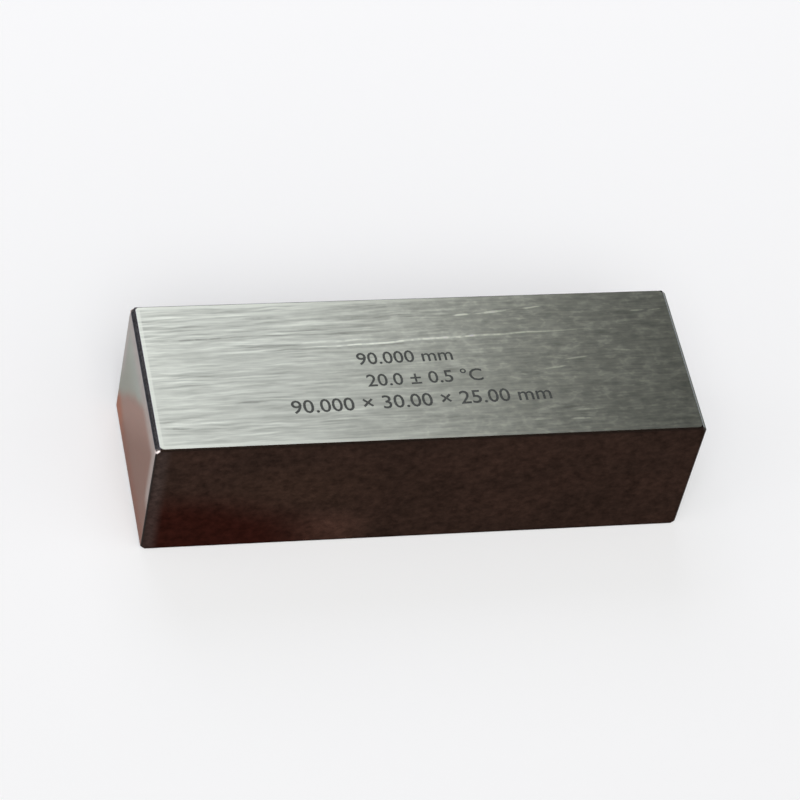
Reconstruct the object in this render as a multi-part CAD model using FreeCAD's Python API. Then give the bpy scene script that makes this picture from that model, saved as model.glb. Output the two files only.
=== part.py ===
import FreeCAD, Part
import os

# A long gauge block: one piece of hardened steel. Its ends and sides are lapped, its marked face
# and its base are ground, and all its edges and corners are broken with small flats.
#
# Frame, in millimetres: the origin is the middle of the base, +X runs along the nominal length,
# -Y points out of the front side face and +Z points up, out of the marked face.

# Distances between opposite faces.
NOMINAL_LENGTH = 90.0
WIDTH = 30.0
HEIGHT = 25.0

# Legs of the 45 degree chamfers. Each measuring face has two edges that lie across the block,
# along Y, and two that stand upright. The long edges run from one measuring face to the other.
CROSS_CHAMFER = 0.65
UPRIGHT_CHAMFER = 0.2
LONG_CHAMFER = 0.25

# Each corner is stoned flat, square to its diagonal. The flat's plane meets the three lines on
# which the uncut faces cross this far from the sharp corner.
CORNER_CUT = 0.95


def chamfered_rectangle(length, width, chamfer):
    """The corners, in order, of a rectangle centred on the origin with its corners cut off."""
    x = length / 2
    y = width / 2
    return [
        (x, y - chamfer),
        (x - chamfer, y),
        (chamfer - x, y),
        (-x, y - chamfer),
        (-x, chamfer - y),
        (chamfer - x, -y),
        (x - chamfer, -y),
        (x, chamfer - y),
    ]


def bar(outline, extrusion):
    """A solid bar with this outline, a list of points, extruded along this vector."""
    wire = Part.makePolygon(outline + outline[:1])
    return Part.Face(wire).extrude(extrusion)


def chamfered_bars():
    """Three crossed bars, centred on the origin. What they share is the block with its chamfers."""
    x = NOMINAL_LENGTH / 2
    y = WIDTH / 2
    z = HEIGHT / 2
    section = chamfered_rectangle(WIDTH, HEIGHT, LONG_CHAMFER)
    side = chamfered_rectangle(NOMINAL_LENGTH, HEIGHT, CROSS_CHAMFER)
    plan = chamfered_rectangle(NOMINAL_LENGTH, WIDTH, UPRIGHT_CHAMFER)
    return [
        bar([FreeCAD.Vector(-x, a, b) for a, b in section], FreeCAD.Vector(NOMINAL_LENGTH, 0, 0)),
        bar([FreeCAD.Vector(a, -y, b) for a, b in side], FreeCAD.Vector(0, WIDTH, 0)),
        bar([FreeCAD.Vector(a, b, -z) for a, b in plan], FreeCAD.Vector(0, 0, HEIGHT)),
    ]


def corner_octahedron():
    """An octahedron centred on the origin, with one face on each of the eight corner flats."""
    reach = (NOMINAL_LENGTH + WIDTH + HEIGHT) / 2 - CORNER_CUT
    faces = []
    for x in (-reach, reach):
        for y in (-reach, reach):
            for z in (-reach, reach):
                tips = [FreeCAD.Vector(x, 0, 0), FreeCAD.Vector(0, y, 0), FreeCAD.Vector(0, 0, z)]
                faces.append(Part.Face(Part.makePolygon(tips + tips[:1])))
    return Part.makeSolid(Part.makeShell(faces))


def gauge_block():
    along, across, upright = chamfered_bars()
    block = along.common(across).common(upright).common(corner_octahedron())
    block.translate(FreeCAD.Vector(0, 0, HEIGHT / 2))
    return block.removeSplitter().Solids[0]


os.makedirs("parts", exist_ok=True)
gauge_block().exportStep("parts/gauge_block.step")
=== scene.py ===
import math

import bmesh
import bpy
from mathutils import Matrix, Vector


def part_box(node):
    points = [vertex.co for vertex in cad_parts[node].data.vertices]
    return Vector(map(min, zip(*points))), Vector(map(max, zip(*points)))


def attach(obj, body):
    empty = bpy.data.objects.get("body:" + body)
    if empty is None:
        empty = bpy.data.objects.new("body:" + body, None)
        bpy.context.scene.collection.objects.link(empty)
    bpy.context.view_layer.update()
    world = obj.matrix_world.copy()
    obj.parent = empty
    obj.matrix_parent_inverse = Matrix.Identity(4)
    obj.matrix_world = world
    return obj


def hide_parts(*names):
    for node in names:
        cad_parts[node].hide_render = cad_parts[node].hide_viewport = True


# A long gauge block: one hardened steel block, ground on its top and base, lapped on its sides and
# ends, with stoned edges and a laser marking. Lengths are in metres, most written as so many MM.

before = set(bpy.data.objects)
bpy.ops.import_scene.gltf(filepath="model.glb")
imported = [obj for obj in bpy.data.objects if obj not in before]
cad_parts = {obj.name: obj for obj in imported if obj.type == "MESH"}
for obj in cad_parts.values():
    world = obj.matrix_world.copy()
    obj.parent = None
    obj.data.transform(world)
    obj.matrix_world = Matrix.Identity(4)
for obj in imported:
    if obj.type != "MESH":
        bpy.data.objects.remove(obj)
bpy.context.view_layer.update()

MM = 0.001

LOW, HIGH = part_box("gauge_block")
CENTRE = (LOW + HIGH) / 2
LENGTH, WIDTH, HEIGHT = HIGH - LOW

# ---------------------------------------------------------------- fine form

EDGE_ROUNDING = 0.07 * MM    # how far the rounding of every edge reaches into the flats beside it
EDGE_SEGMENTS = 3
CROSS_CHAMFER = 0.65 * MM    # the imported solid's chamfers between its ends and its top and base
LONG_CHAMFER = 0.25 * MM     # and along its long edges
FLAT_WEIGHT = 100            # large faces set the shading of the corners that they share
MARK_DEPTH = 0.03 * MM
MARK_MARGIN = 2 * MM         # the marking stays further than this from the top's edges
MARK_FONT_RATIO = 0.73       # a capital's height over the font's size
MARK_BOLDNESS = 0.035 * MM   # added to each side of the font's strokes
MARK_CURVE_STEPS = 3

# The marking: rows of plain sizes, each with its text, its capitals' height and its middle on the
# top face. The rows stand a little askew.
MARK_ROWS = (
    ("90.000 mm", 2.6 * MM, (-2.0 * MM, 2.3 * MM)),
    ("20.0 ± 0.5 °C", 2.6 * MM, (0.4 * MM, -2.3 * MM)),
    ("90.000 × 30.00 × 25.00 mm", 2.8 * MM, (-1.0 * MM, -6.9 * MM)),
)
MARK_TILT = math.radians(1.5)

# Parts of the finished mesh, in the order of its material slots.
TOP_AND_BASE, LONG_SIDES, ENDS, CROSS_EDGES, LONG_EDGES, CORNERS, MARKING = range(7)


def link_object(name, data):
    made = bpy.data.objects.new(name, data)
    bpy.context.scene.collection.objects.link(made)
    return made


def evaluated_mesh(piece):
    """A new mesh: this object's data with its modifiers applied."""
    graph = bpy.context.evaluated_depsgraph_get()
    return bpy.data.meshes.new_from_object(piece.evaluated_get(graph))


# ---------------------------------------------------------------- material nodes

NOISE_GAIN = 4               # a noise value stays mostly within a quarter of its mean
COLOUR_A, COLOUR_B, COLOUR_RESULT = 6, 7, 2    # a Mix node's sockets for colours
TIP_RADIUS = 0.95 * MM       # of the painted glints on the two tips
TIP_CORE = 0.6 * TIP_RADIUS  # and how far they are fully bright


class Nodes:
    """A node tree, with short calls for the nodes that the finishes and the world share."""

    def __init__(self, tree):
        self.tree = tree

    def node(self, kind, inputs=(), **settings):
        """A new node. Inputs are (socket, value) pairs, and a value may be another node's output."""
        made = self.tree.nodes.new(kind)
        for key, value in settings.items():
            setattr(made, key, value)
        for socket, value in inputs:
            if isinstance(value, bpy.types.NodeSocket):
                self.tree.links.new(value, made.inputs[socket])
            else:
                made.inputs[socket].default_value = value
        return made

    def maths(self, operation, *values):
        return self.node("ShaderNodeMath", enumerate(values), operation=operation).outputs[0]

    def vector_maths(self, operation, *values):
        """For the operations that give a number, that number."""
        made = self.node("ShaderNodeVectorMath", enumerate(values), operation=operation)
        return made.outputs["Value" if operation in ("LENGTH", "DOT_PRODUCT") else "Vector"]

    def total(self, *values):
        result = values[0]
        for value in values[1:]:
            result = self.maths("ADD", result, value)
        return result

    def product(self, *values):
        result = values[0]
        for value in values[1:]:
            result = self.maths("MULTIPLY", result, value)
        return result

    def rise(self, value, start, end, low=0.0, high=1.0):
        """From low to high, smoothly, while the value goes from start to end."""
        inputs = (("Value", value), ("From Min", start), ("From Max", end), ("To Min", low),
                  ("To Max", high))
        made = self.node("ShaderNodeMapRange", inputs, interpolation_type="SMOOTHSTEP")
        return made.outputs["Result"]


class Finish(Nodes):
    """A material."""

    def __init__(self, name, metallic=1.0):
        self.material = bpy.data.materials.new(name)
        self.material.use_nodes = True
        super().__init__(self.material.node_tree)
        self.surface = self.tree.nodes["Principled BSDF"]
        self.set("Metallic", metallic)

    def set(self, socket, value):
        """Sets a socket of the surface to a number, a colour or another node's output."""
        target = self.surface.inputs[socket]
        if isinstance(value, bpy.types.NodeSocket):
            self.tree.links.new(value, target)
        elif isinstance(value, tuple):
            target.default_value = (*value, 1)
        else:
            target.default_value = value

    def place(self):
        """The point on the block, in metres."""
        return self.node("ShaderNodeTexCoord").outputs["Object"]

    def part(self, axis):
        """One coordinate of the point from the block's centre."""
        from_centre = self.vector_maths("SUBTRACT", self.place(), tuple(CENTRE))
        return self.node("ShaderNodeSeparateXYZ", (("Vector", from_centre),)).outputs[axis]

    def inset(self, radius, *sides):
        """How far the point lies inside a rounded outline, and no more than its corners' radius.

        Each side is a coordinate's axis and how far from the centre the outline crosses it."""
        beyond = []
        for axis, reach in sides:
            past = self.maths("SUBTRACT", self.maths("ABSOLUTE", self.part(axis)), reach - radius)
            beyond.append(self.maths("MAXIMUM", past, 0.0))
        corner = self.node("ShaderNodeCombineXYZ", (("X", beyond[0]), ("Y", beyond[1]))).outputs[0]
        return self.maths("SUBTRACT", radius, self.vector_maths("LENGTH", corner))

    def threads(self, place, width, seed):
        """Thin wandering lines, 1 at their middle, where a noise passes its own mean."""
        away = self.maths("ABSOLUTE", self.maths("SUBTRACT", self.noise(place, 1.5, seed=seed), 0.5))
        return self.rise(away, width, 0.0)

    def furrow_shading(self, place, seed):
        """Painted shade and highlight of lines along X: a dark and a light side, about -0.3 to 0.3, in
        this place's units.
        """
        beside = self.vector_maths("ADD", place, (0, 0.35, 0))
        first, second = (self.noise(spot, 1.5, seed=seed) for spot in (place, beside))
        return self.maths("SUBTRACT", first, second)

    def near_tips(self):
        """1 at the two tips that get a painted glint: where the left end meets the top and a side."""
        from_tip = (
            ("X", self.maths("ADD", self.part("X"), LENGTH / 2)),
            ("Y", self.maths("SUBTRACT", self.maths("ABSOLUTE", self.part("Y")), WIDTH / 2)),
            ("Z", self.maths("SUBTRACT", self.part("Z"), HEIGHT / 2 - CROSS_CHAMFER)),
        )
        distance = self.vector_maths("LENGTH", self.node("ShaderNodeCombineXYZ", from_tip).outputs[0])
        return self.rise(distance, TIP_RADIUS, TIP_CORE)

    def local(self, sizes, tilt=0.0, origin=(0, 0, 0), place=None):
        """The point from this origin, turned by the tilt, with the sizes as its units."""
        inputs = (("Vector", place or self.place()), ("Location", origin), ("Rotation", (0, 0, tilt)),
                  ("Scale", sizes))
        return self.node("ShaderNodeMapping", inputs, vector_type="TEXTURE").outputs["Vector"]

    def noise(self, place, detail=2.0, roughness=0.5, seed=0.0):
        inputs = (("Vector", place), ("W", seed), ("Scale", 1.0), ("Detail", detail),
                  ("Roughness", roughness))
        return self.node("ShaderNodeTexNoise", inputs, noise_dimensions="4D").outputs["Fac"]

    def swing(self, value, amount):
        """A noise value as a swing about nothing, of about this amount each way."""
        return self.maths("MULTIPLY", self.maths("SUBTRACT", value, 0.5), NOISE_GAIN * amount)

    def fine_grain(self, size, detail):
        """A noise that is alike in every direction."""
        return self.noise(self.local((size, size, size)), detail)

    def reach(self, sizes, centre):
        """How far the point is from this centre, with the sizes as its units."""
        return self.vector_maths("LENGTH", self.local(sizes, 0, centre))

    def blend(self, factor, first, second):
        """A colour between two colours."""
        made = self.node("ShaderNodeMix", data_type="RGBA")
        self.tree.links.new(factor, made.inputs["Factor"])
        for socket, colour in ((COLOUR_A, first), (COLOUR_B, second)):
            if isinstance(colour, tuple):
                made.inputs[socket].default_value = (*colour, 1)
            else:
                self.tree.links.new(colour, made.inputs[socket])
        return made.outputs[COLOUR_RESULT]

    def times(self, colour, factor):
        """A colour with each channel times the factor."""
        inputs = ((0, colour), ("Scale", factor))
        return self.node("ShaderNodeVectorMath", inputs, operation="SCALE").outputs[0]

    def bump(self, height, depth):
        """Relief: a height of 1 stands this much higher than a height of 0."""
        made = self.node("ShaderNodeBump", (("Height", height), ("Distance", depth)))
        self.set("Normal", made.outputs["Normal"])

    def polish(self, grain, smoothest, roughest, depth):
        """Roughness and relief that follow the grain."""
        self.set("Roughness", self.rise(grain, 0.3, 0.7, smoothest, roughest))
        self.bump(grain, depth)


# ---------------------------------------------------------------- finishes

# A painted glint: the bright colour of the two tips where the left end meets the top and a side.
PAINTED_GLINT = (0.78, 0.68, 0.66)
# Painted shade: the near black of the ground face's very edge and of the corner flats.
PAINTED_DARK = (0.03, 0.022, 0.02)

GRIND_TILT = math.radians(1.3)
GROUND_LEFT = (0.505, 0.528, 0.430)
GROUND_RIGHT = (0.507, 0.524, 0.405)
GROUND_ROUGHNESS = 0.305
GROUND_RELIEF = 0.003 * MM
DARKEST_LINE = 0.55          # of the steel's own lightness
DEEP = 50 * MM               # a pattern's size in Z where only its run over the top matters
# A lighter border runs around the ground face: a painted highlight, weaker towards the right.
BORDER_CORNERS = 0.9 * MM    # their radius
BORDER_SMOOTHING = 0.7       # how much of the lines the painted highlight smooths away there
BORDER_HIGHLIGHT = 0.24        # and how much lighter the painted highlight makes the steel

STONED_RELIEF = 0.0006 * MM

# Scratches and rubbed lines on the ground face, each an ellipse: its middle, its length and width
# in mm, its tilt in degrees, and how much lighter (or darker, if negative) it is than the steel.
SCRATCHES = (
    (6, 6.1, 56, 0.55, 2.6, 0.85),
    (-8, 5.0, 38, 0.75, 2.0, -0.25),
    (-13, 6.2, 18, 0.5, 2.4, 0.35),
    (12, 3.4, 17, 0.4, 0.5, 0.3),
    (9, 10.8, 3.5, 0.6, 1, 0.84),
    (14.5, 11.4, 8, 0.6, 9, 0.84),
    (21, 12.1, 4.5, 0.45, 3, 0.84),
    (39, 10.7, 3, 0.4, 0, 0.73),
    (42, 10.7, 3, 0.4, 8, 0.73),
    (34.5, 2.2, 4, 0.45, -4, 0.73),
    (26.5, 1.0, 5, 0.5, 8, 0.73),
    (22.5, -1.0, 5, 0.5, 8, 0.63),
    (26, -9.9, 5, 0.5, 0, 0.73),
    (24.5, -11.7, 4, 0.5, 0, 0.84),
    (18, -11.6, 4.5, 0.5, 2, 0.53),
    (-35, 7.5, 20, 0.6, 1.3, -0.28),
    (-39, 6.7, 10, 0.6, 1.5, 0.15),
    (-24, 11.7, 9, 0.8, 1, -0.22),
    (-41, -10.6, 6, 0.6, -1, -0.4),
    (-38, -9.6, 11, 0.6, 0, 0.2),
    (-28, -6.1, 7, 0.5, -1, -0.15),
)


def scratch_marks(f, place):
    """The listed scratches, broken along their length."""
    marks = 0.0
    for x, y, length, width, tilt, strength in SCRATCHES:
        sizes = (length / 2 * MM, width / 2 * MM, 1)
        middle = (CENTRE.x + x * MM, CENTRE.y + y * MM, 0)
        spot = f.local(sizes, math.radians(tilt), middle, place=place)
        marks = f.maths("ADD", marks, f.rise(f.vector_maths("LENGTH", spot), 1, 0.5, 0, strength))
    gaps = f.noise(f.local((1.6 * MM, 6 * MM, DEEP)), 2, seed=5)
    return f.product(marks, f.rise(gaps, 0.35, 0.55, 0.5, 1))


def ground_steel():
    """Satin steel with the fine lines of surface grinding, which run a little askew of X."""
    f = Finish("ground_steel")
    wander = f.swing(f.noise(f.local((9 * MM, 5 * MM, DEEP)), 1), 0.20 * MM)
    waver = f.swing(f.noise(f.local((2.5 * MM, 1.5 * MM, DEEP)), 1), 0.07 * MM)
    offset = f.node("ShaderNodeCombineXYZ", (("Y", f.total(wander, waver)),)).outputs[0]
    place = f.vector_maths("ADD", f.place(), offset)

    def along(length, width):
        return f.local((length, width, DEEP), GRIND_TILT, place=place)

    to_right = f.rise(f.part("X"), -30 * MM, 30 * MM)
    to_back = f.rise(f.part("Y"), -6 * MM, 8 * MM, 0.8, 1)
    bands = f.noise(along(40 * MM, 3.0 * MM), 1, seed=1)
    streaks = f.noise(along(8 * MM, 0.55 * MM), 2, seed=2)
    hairs = f.noise(along(4 * MM, 0.28 * MM), 1, seed=3)
    mottle = f.noise(f.local((1.9 * MM, 1.0 * MM, DEEP)), 3, seed=4)
    patches = f.rise(f.noise(along(14 * MM, 3 * MM), 1, seed=6), 0.40, 0.60, 0.2, 1)
    # Painted shade and highlight: grinding lines with a dark and a light side.
    furrow_shading = f.furrow_shading(along(9 * MM, 0.8 * MM), 7)
    furrow_shading = f.product(furrow_shading, patches, to_back, f.rise(to_right, 0, 1, 1, 0.4))
    threads = f.threads(f.local((2.4 * MM, 1.5 * MM, DEEP)), 0.10, 8)
    worms = f.product(threads, f.rise(mottle, 0.45, 0.62), to_right)
    marks = scratch_marks(f, place)
    # Painted highlight: the top is lighter towards its left end.
    left_end_highlight = f.rise(f.part("X"), -36 * MM, -43 * MM, 0, 0.07)

    shade = f.total(
        1.0, marks, left_end_highlight, f.swing(bands, 0.04),
        f.product(f.swing(streaks, 0.20), f.rise(to_right, 0, 1, 1, 0.55)),
        f.swing(hairs, 0.12),
        f.product(f.swing(mottle, 0.12), f.rise(to_right, 0, 1, 0.4, 2.0)),
        f.product(furrow_shading, 1.6), f.product(worms, 0.22),
    )
    shade = f.maths("MAXIMUM", shade, DARKEST_LINE)
    depth = f.inset(BORDER_CORNERS, ("X", LENGTH / 2 - CROSS_CHAMFER), ("Y", WIDTH / 2 - LONG_CHAMFER))
    # Painted highlight: a lighter border around the face, weaker towards the right.
    border = f.product(f.rise(depth, 0.80 * MM, 0.55 * MM), f.rise(to_right, 0, 1, 1, 0.25))
    lines = f.maths("SUBTRACT", 1.0, shade)
    shade = f.total(shade, f.product(border, BORDER_SMOOTHING, lines))
    border_highlight = f.total(1.0, f.product(border, BORDER_HIGHLIGHT))
    steel = f.times(f.blend(to_right, GROUND_LEFT, GROUND_RIGHT), f.product(shade, border_highlight))
    # Painted shade: the steel turns near black at the face's very edge.
    f.set("Base Color", f.blend(f.rise(depth, 0.02 * MM, -0.05 * MM), steel, PAINTED_DARK))
    f.set("Roughness", GROUND_ROUGHNESS)
    f.bump(f.total(streaks, f.product(hairs, 0.35)), GROUND_RELIEF)
    return f.material


def lapped_side_steel():
    """Smooth lapped steel, lightly clouded and painted dark brown as the dark that it mirrors, with
    painted lighter patches and a painted reddish reflection at the front's lower left.
    """
    f = Finish("lapped_side_steel")
    grain = f.noise(f.local((1.2 * MM, 1.2 * MM, 1.0 * MM)), 4, 0.6)
    clouds = f.noise(f.local((9 * MM, 9 * MM, 6 * MM)), 3, seed=1)
    specks = f.noise(f.local((0.5 * MM, 0.5 * MM, 0.5 * MM)), 1, seed=2)

    # Painted reflection: a reddish patch low at the front's left.
    red_reflection_reach = f.reach((24 * MM, 1, 12.5 * MM), (LOW.x, CENTRE.y, LOW.z - 2 * MM))
    red_reflection = f.rise(f.total(red_reflection_reach, f.swing(clouds, 0.05)), 1.5, 0.8)
    # Painted reflection: lighter patches on the left, one low and one high.
    cloud_reach = f.reach((9 * MM, 1, 7 * MM), (CENTRE.x - 15 * MM, CENTRE.y, LOW.z + 3 * MM))
    cloud = f.rise(cloud_reach, 1, 0.1)
    haze_reach = f.reach((20 * MM, 1, 9 * MM), (CENTRE.x - 20 * MM, CENTRE.y, LOW.z + 14 * MM))
    haze = f.rise(haze_reach, 1, 0.2)

    # The dark brown is a painted reflection of the dark that the sides mirror.
    brown = f.blend(f.rise(clouds, 0.3, 0.7), (0.0300, 0.0172, 0.0130), (0.0385, 0.0212, 0.0158))
    brown = f.blend(f.product(haze, 0.45), brown, (0.050, 0.0275, 0.0190))
    brown = f.blend(cloud, brown, (0.066, 0.0335, 0.0245))
    in_front = f.rise(f.part("Y"), 1 * MM, -1 * MM)
    brown = f.blend(f.product(red_reflection, in_front), brown, (0.0300, 0.0080, 0.0056))
    depth = f.inset(2.5 * MM, ("X", LENGTH / 2), ("Z", HEIGHT / 2))
    # Painted highlight: lighter near the left end.
    left = f.rise(f.part("X"), 3 * MM - LENGTH / 2, 1.1 * MM - LENGTH / 2)
    brown = f.blend(f.product(left, 0.6), brown, (0.066, 0.047, 0.042))
    dust = f.rise(specks, 0.66, 0.74, 0, 0.35)
    # Grain, dust, and painted shade that darkens the face near its edges.
    shade = f.total(f.swing(grain, 0.5), dust, f.rise(depth, 0.9 * MM, 0.2 * MM, 1, 0.75))
    f.set("Base Color", f.times(brown, shade))
    f.set("Specular Tint", (0.5, 0.5, 0.5))
    f.polish(grain, 0.16, 0.22, 0.0008 * MM)
    return f.material


def lapped_end_steel():
    """Smooth lapped steel of the measuring faces: grey, and on the left one a painted pink reflection
    low and in front.
    """
    f = Finish("lapped_end_steel")
    grain = f.noise(f.local((0.9 * MM, 1.6 * MM, 0.8 * MM)), 4, 0.6)
    clouds = f.noise(f.local((6 * MM, 6 * MM, 6 * MM)), 2, seed=1)
    up = f.total(f.part("Z"), HEIGHT / 2)
    across = f.total(f.part("Y"), up, f.swing(clouds, 1.0 * MM))

    # Painted reflections: the grey is painted lighter higher up, and the pink, redder low down and in a
    # patch, stands for red things that the left end mirrors.
    grey = f.blend(f.rise(up, 12 * MM, 23 * MM), (0.292, 0.305, 0.270), (0.335, 0.364, 0.337))
    pink = f.blend(f.rise(across, 7 * MM, 17 * MM), (0.235, 0.150, 0.128), (0.307, 0.215, 0.190))
    low_red_reflection = f.rise(f.total(up, f.swing(clouds, 0.6 * MM)), 6 * MM, 2.5 * MM)
    pink = f.blend(low_red_reflection, pink, (0.235, 0.118, 0.092))
    low_corner = f.local((1, 10 * MM, 7 * MM), 0, (CENTRE.x, HIGH.y, LOW.z + 1 * MM))
    corner_reach = f.vector_maths("LENGTH", f.vector_maths("MULTIPLY", low_corner, (0, 1, 1)))
    red_reflection_patch = f.rise(corner_reach, 1, 0.3)
    pink = f.blend(f.product(red_reflection_patch, 0.8), pink, (0.365, 0.152, 0.088))
    right_end = f.rise(f.part("X"), -1 * MM, 1 * MM)
    grey_share = f.maths("MAXIMUM", f.rise(across, 17.5 * MM, 21 * MM), right_end)
    steel = f.blend(grey_share, pink, grey)

    # Painted highlights: lighter bands along the face's top edge and the upper part of its side edges.
    top_edge_highlight = f.rise(up, 19.5 * MM, 23 * MM, 0, 0.95)
    from_side = f.maths("SUBTRACT", WIDTH / 2, f.maths("ABSOLUTE", f.part("Y")))
    side_edge_highlight = f.rise(from_side, 3.4 * MM, 1.2 * MM, 0, 0.9)
    side_edge_highlight = f.product(side_edge_highlight, f.rise(up, 8 * MM, 13 * MM))
    steel = f.blend(f.maths("MAXIMUM", top_edge_highlight, side_edge_highlight), steel, (0.375, 0.349, 0.338))
    steel = f.times(steel, f.total(f.swing(grain, 0.25), 1.0))
    # A painted glint at the two tips.
    steel = f.blend(f.near_tips(), steel, PAINTED_GLINT)
    f.set("Base Color", steel)
    # With this tint the face has about the same colour seen along it as seen square on.
    at_least = f.blend(grey_share, (0.36, 0.32, 0.30), (0.36, 0.345, 0.335))
    tint = f.vector_maths("ADD", f.times(steel, 0.93), at_least)
    f.set("Specular Tint", f.vector_maths("MINIMUM", tint, (1, 1, 1)))
    f.polish(grain, 0.16, 0.24, 0.0008 * MM)
    return f.material


def dark_stoned_steel():
    """Long and upright edges, rubbed on a fine stone, and painted near black as a dark reflection."""
    f = Finish("dark_stoned_steel")
    grain = f.fine_grain(0.5 * MM, 3)
    # Painted dark reflection: near black.
    f.set("Base Color", f.blend(grain, (0.014, 0.009, 0.007), (0.022, 0.014, 0.011)))
    f.polish(grain, 0.18, 0.26, STONED_RELIEF)
    return f.material


def cross_chamfer_steel():
    """The chamfers at the ends: grey beside the top and base, with painted shade where they turn to the
    ends, near black at the right end.
    """
    f = Finish("cross_chamfer_steel")
    grain = f.fine_grain(0.5 * MM, 3)
    to_end = f.total(f.maths("ABSOLUTE", f.part("X")), f.swing(grain, 0.02 * MM))
    outer = f.rise(to_end, LENGTH / 2 - 0.46 * MM, LENGTH / 2 - 0.16 * MM)
    steel = f.blend(grain, (0.30, 0.285, 0.31), (0.355, 0.34, 0.365))
    # Painted shade where the chamfers turn to the ends: dark grey on the left, near black on the right.
    dark = f.blend(f.rise(f.part("X"), -1 * MM, 1 * MM), (0.20, 0.195, 0.225), (0.03, 0.028, 0.032))
    steel = f.blend(outer, steel, dark)
    # A painted glint at the two tips.
    f.set("Base Color", f.blend(f.near_tips(), steel, PAINTED_GLINT))
    f.set("Specular Tint", (0.56, 0.62, 0.56))
    f.polish(grain, 0.16, 0.24, STONED_RELIEF)
    return f.material


def corner_flat_steel():
    """Corner flats: painted dark as a dark reflection, and a painted glint near the two tips."""
    f = Finish("corner_flat_steel")
    grain = f.fine_grain(0.4 * MM, 2)
    # Painted dark reflection: the corner flats are near black.
    dark = f.blend(grain, PAINTED_DARK, (0.05, 0.04, 0.037))
    # A painted glint near the two tips.
    f.set("Base Color", f.blend(f.near_tips(), dark, PAINTED_GLINT))
    f.polish(grain, 0.2, 0.3, STONED_RELIEF)
    return f.material


def laser_mark():
    """The dark oxide that a marking laser leaves."""
    f = Finish("laser_mark", metallic=0.0)
    grain = f.fine_grain(0.25 * MM, 2)
    oxide = f.rise(grain, 0.3, 0.7)
    f.set("Base Color", f.blend(oxide, (0.035, 0.038, 0.033), (0.085, 0.09, 0.08)))
    f.set("Roughness", 0.6)
    f.bump(grain, 0.004 * MM)
    return f.material


# ---------------------------------------------------------------- the block's mesh

# A face's normal has more than this much of an axis to face along it, of every axis to be a corner
# flat, and of Z to be on a cross chamfer.
SQUARE_ON, CORNER_SHARE, CHAMFER_SHARE = 0.99, 0.3, 0.1


def solid_mesh():
    """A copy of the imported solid's mesh, with its triangles merged back into whole flats."""
    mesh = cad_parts["gauge_block"].data.copy()
    mesh.materials.clear()
    bm = bmesh.new()
    bm.from_mesh(mesh)
    bmesh.ops.remove_doubles(bm, verts=bm.verts, dist=0.001 * MM)
    bmesh.ops.dissolve_limit(bm, angle_limit=math.radians(1), verts=bm.verts, edges=bm.edges)
    bm.to_mesh(mesh)
    bm.free()
    return mesh


def mark_row_mesh(text, height, middle):
    """One row of the marking as closed letters, half above and half below the top face."""
    curve = bpy.data.curves.new("mark_row", "FONT")
    curve.body = text
    curve.size = height / MARK_FONT_RATIO
    curve.extrude = MARK_DEPTH
    curve.offset = MARK_BOLDNESS
    curve.align_x = "CENTER"
    curve.align_y = "CENTER"
    curve.resolution_u = MARK_CURVE_STEPS
    row = link_object("mark_row", curve)
    mesh = evaluated_mesh(row)
    bpy.data.objects.remove(row)
    to_face = Matrix.Translation((CENTRE.x, CENTRE.y, HIGH.z)) @ Matrix.Rotation(MARK_TILT, 4, "Z")
    mesh.transform(to_face @ Matrix.Translation((*middle, 0)))
    return mesh


def marking_mesh():
    bm = bmesh.new()
    for row in MARK_ROWS:
        bm.from_mesh(mark_row_mesh(*row))
    bmesh.ops.remove_doubles(bm, verts=bm.verts, dist=0.0001 * MM)
    bmesh.ops.recalc_face_normals(bm, faces=bm.faces)
    mesh = bpy.data.meshes.new("marking")
    bm.to_mesh(mesh)
    bm.free()
    return mesh


def cut_marking(piece):
    cutter = link_object("marking", marking_mesh())
    cut = piece.modifiers.new("marking", "BOOLEAN")
    cut.operation = "DIFFERENCE"
    cut.solver = "EXACT"
    cut.object = cutter
    piece.data = evaluated_mesh(piece)
    piece.modifiers.clear()
    bpy.data.objects.remove(cutter)


def finish_of(face):
    """Which finish a face of the block has, from where it faces."""
    x, y, z = (abs(part) for part in face.normal)
    middle = face.calc_center_median()
    inside = min(HIGH.x - abs(middle.x), HIGH.y - abs(middle.y)) > MARK_MARGIN
    if inside and 0.1 * MARK_DEPTH < HIGH.z - middle.z < 2 * MARK_DEPTH:
        return MARKING
    if z > SQUARE_ON:
        return TOP_AND_BASE
    if y > SQUARE_ON:
        return LONG_SIDES
    if x > SQUARE_ON:
        return ENDS
    if min(x, y, z) > CORNER_SHARE:
        return CORNERS
    if x > y and z > CHAMFER_SHARE:
        return CROSS_EDGES
    return LONG_EDGES


def weigh_edges(piece):
    """Marks the block's own edges for rounding, before the marking is cut."""
    weights = piece.data.attributes.new("bevel_weight_edge", "FLOAT", "EDGE")
    for edge in weights.data:
        edge.value = 1


def sort_faces(piece):
    bm = bmesh.new()
    bm.from_mesh(piece.data)
    for face in bm.faces:
        face.material_index = finish_of(face)
        face.smooth = face.material_index != MARKING
    for edge in bm.edges:
        edge.smooth = all(face.material_index != MARKING for face in edge.link_faces)
    bm.to_mesh(piece.data)
    bm.free()


def round_edges(piece):
    rounding = piece.modifiers.new("rounding", "BEVEL")
    rounding.width = EDGE_ROUNDING
    rounding.segments = EDGE_SEGMENTS
    rounding.limit_method = "WEIGHT"
    piece.data = evaluated_mesh(piece)
    piece.modifiers.clear()


def flatten_shading(piece):
    """Keeps the flats flat and the rounding soft."""
    flats = piece.modifiers.new("flats", "WEIGHTED_NORMAL")
    flats.keep_sharp = True
    flats.weight = FLAT_WEIGHT
    piece.data = evaluated_mesh(piece)
    piece.modifiers.clear()


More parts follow.
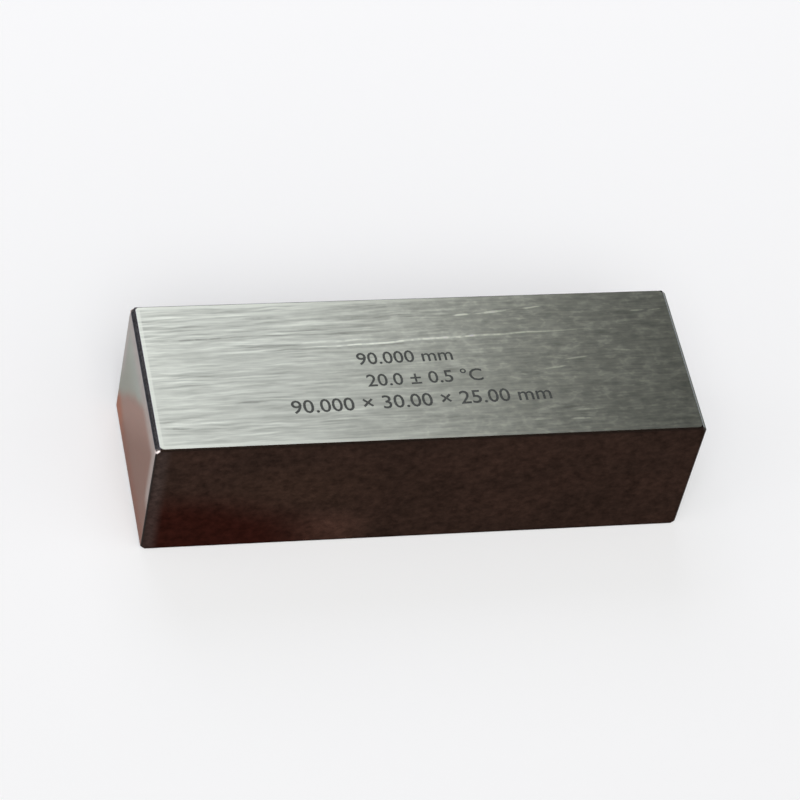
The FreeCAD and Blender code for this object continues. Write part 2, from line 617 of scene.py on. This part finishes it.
def gauge_block():
    piece = link_object("block_body", solid_mesh())
    weigh_edges(piece)
    cut_marking(piece)
    piece.data.materials.clear()
    finishes = {
        TOP_AND_BASE: ground_steel(),
        LONG_SIDES: lapped_side_steel(),
        ENDS: lapped_end_steel(),
        CROSS_EDGES: cross_chamfer_steel(),
        LONG_EDGES: dark_stoned_steel(),
        CORNERS: corner_flat_steel(),
        MARKING: laser_mark(),
    }
    for index in sorted(finishes):
        piece.data.materials.append(finishes[index])
    round_edges(piece)
    sort_faces(piece)
    flatten_shading(piece)
    piece.data.name = "block_body"
    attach(piece, "root")
    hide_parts("gauge_block")


# ---------------------------------------------------------------- stage, light and camera

FLOOR_REACH = 8.0
FLOOR_COLOUR = (0.74, 0.74, 0.74)
FLOOR_LIFT = 0.24    # added where the camera or the metal sees the floor, so that its shadow is pale


def floor():
    mesh = bpy.data.meshes.new("floor")
    r = FLOOR_REACH
    corners = [(-r, -r, LOW.z), (r, -r, LOW.z), (r, r, LOW.z), (-r, r, LOW.z)]
    mesh.from_pydata(corners, [], [(0, 1, 2, 3)])
    paper = Finish("floor_paper", metallic=0.0)
    paper.set("Base Color", FLOOR_COLOUR)
    paper.set("Roughness", 1.0)
    paper.set("Specular IOR Level", 0.0)
    rays = paper.node("ShaderNodeLightPath").outputs
    seen = paper.total(rays["Is Camera Ray"], rays["Is Glossy Ray"], rays["Is Transmission Ray"])
    paper.set("Emission Color", (1.0, 1.0, 1.0))
    paper.set("Emission Strength", paper.product(seen, FLOOR_LIFT))
    mesh.materials.append(paper.material)
    link_object("floor", mesh)


def direction(azimuth, elevation):
    """From the block towards this azimuth, measured from the front (-Y) towards +X, and elevation."""
    level = math.cos(elevation)
    return Vector((math.sin(azimuth) * level, -math.cos(azimuth) * level, math.sin(elevation)))


HORIZON = 1.0    # the world's radiance level with the block
DOME = 0.75      # and above it
DOME_STARTS, DOME_IS_FULL = 0.03, 0.13    # the height on a unit sphere where one turns to the other
# Black flags hang in the dome, behind the block and to its left: where each is, from where to where
# it fades, and what it leaves of the dome's light. The ground top and the chamfers mirror them.
FLAGS = (
    (math.radians(159), math.radians(48), math.radians(30), math.radians(60), 0.0),
    (math.radians(-126), math.radians(14), math.radians(12), math.radians(26), 0.08),
)


def studio_world():
    """A pale horizon under a soft dome."""
    world = bpy.data.worlds.new("studio")
    bpy.context.scene.world = world
    world.use_nodes = True
    sky = Nodes(world.node_tree)
    toward = sky.node("ShaderNodeTexCoord").outputs["Generated"]
    above = DOME
    for azimuth, elevation, core, rim, rest in FLAGS:
        nearness = sky.vector_maths("DOT_PRODUCT", toward, tuple(direction(azimuth, elevation)))
        above = sky.maths("MULTIPLY", above, sky.rise(nearness, math.cos(rim), math.cos(core), 1, rest))
    height = sky.node("ShaderNodeSeparateXYZ", (("Vector", toward),)).outputs["Z"]
    level = sky.rise(height, DOME_STARTS, DOME_IS_FULL, HORIZON, above)
    background = sky.tree.nodes["Background"]
    background.inputs["Color"].default_value = (1, 1, 1, 1)
    sky.tree.links.new(level, background.inputs["Strength"])


def turn_towards(thing, aim, place):
    thing.rotation_mode = "QUATERNION"
    thing.rotation_quaternion = (Vector(aim) - Vector(place)).to_track_quat("-Z", "Y")


def softbox(name, place, aim, size, radiance, colour=(1, 1, 1)):
    """A rectangular lamp with this radiance over its face."""
    light = bpy.data.lights.new(name, "AREA")
    light.shape = "RECTANGLE"
    light.size, light.size_y = size
    light.energy = radiance * math.pi * size[0] * size[1]
    light.color = colour
    lamp = link_object(name, light)
    lamp.location = place
    turn_towards(lamp, aim, place)
    lamp.visible_camera = False


def key_light(azimuth, elevation, spread, strength):
    """A wide, far lamp that lights the floor evenly."""
    light = bpy.data.lights.new("key", "SUN")
    light.angle = spread
    light.energy = strength
    lamp = link_object("key", light)
    out = direction(azimuth, elevation)
    turn_towards(lamp, (0, 0, 0), out)


# The window stands behind the block, where the left part of the top face mirrors it. The card lights
# the corner flats from the left. Places and sizes are in metres.
WINDOW = {
    "place": (-0.026, 0.403, 0.458), "aim": (-0.013, 0, 0.025), "size": (0.346, 0.365),
    "radiance": 1.45, "colour": (1, 1, 1.15),
}
CARD = {"place": (-0.34, -0.19, 0.14), "aim": (0, 0, 0), "size": (0.12, 0.12), "radiance": 1.5}
KEY = {
    "azimuth": math.radians(-15), "elevation": math.radians(50), "spread": math.radians(40),
    "strength": 1.5,
}

# The camera looks at a point by the block's centre, from this side, height and distance.
CAMERA_AIM = CENTRE + Vector((-0.58 * MM, 3.69 * MM, 0))
CAMERA_AZIMUTH = math.radians(-20.91)
CAMERA_ELEVATION = math.radians(48.47)
CAMERA_DISTANCE = 565.5 * MM
CAMERA_ROLL = math.radians(13.72)
CAMERA_LENS, CAMERA_SENSOR = 155.1, 36    # Blender takes these in millimetres
CAMERA_SEES_FROM, CAMERA_SEES_TO = 0.01, 50


def camera():
    data = bpy.data.cameras.new("camera")
    data.lens = CAMERA_LENS
    data.sensor_width = CAMERA_SENSOR
    data.clip_start = CAMERA_SEES_FROM
    data.clip_end = CAMERA_SEES_TO
    eye = link_object("camera", data)
    out = direction(CAMERA_AZIMUTH, CAMERA_ELEVATION)
    eye.location = CAMERA_AIM + out * CAMERA_DISTANCE
    eye.rotation_mode = "QUATERNION"
    roll = Matrix.Rotation(CAMERA_ROLL, 3, "Z").to_quaternion()
    eye.rotation_quaternion = (-out).to_track_quat("-Z", "Y") @ roll
    bpy.context.scene.camera = eye


gauge_block()
floor()
studio_world()
softbox("window", **WINDOW)
softbox("card", **CARD)
key_light(**KEY)
camera()
bpy.context.scene.view_settings.view_transform = "Standard"
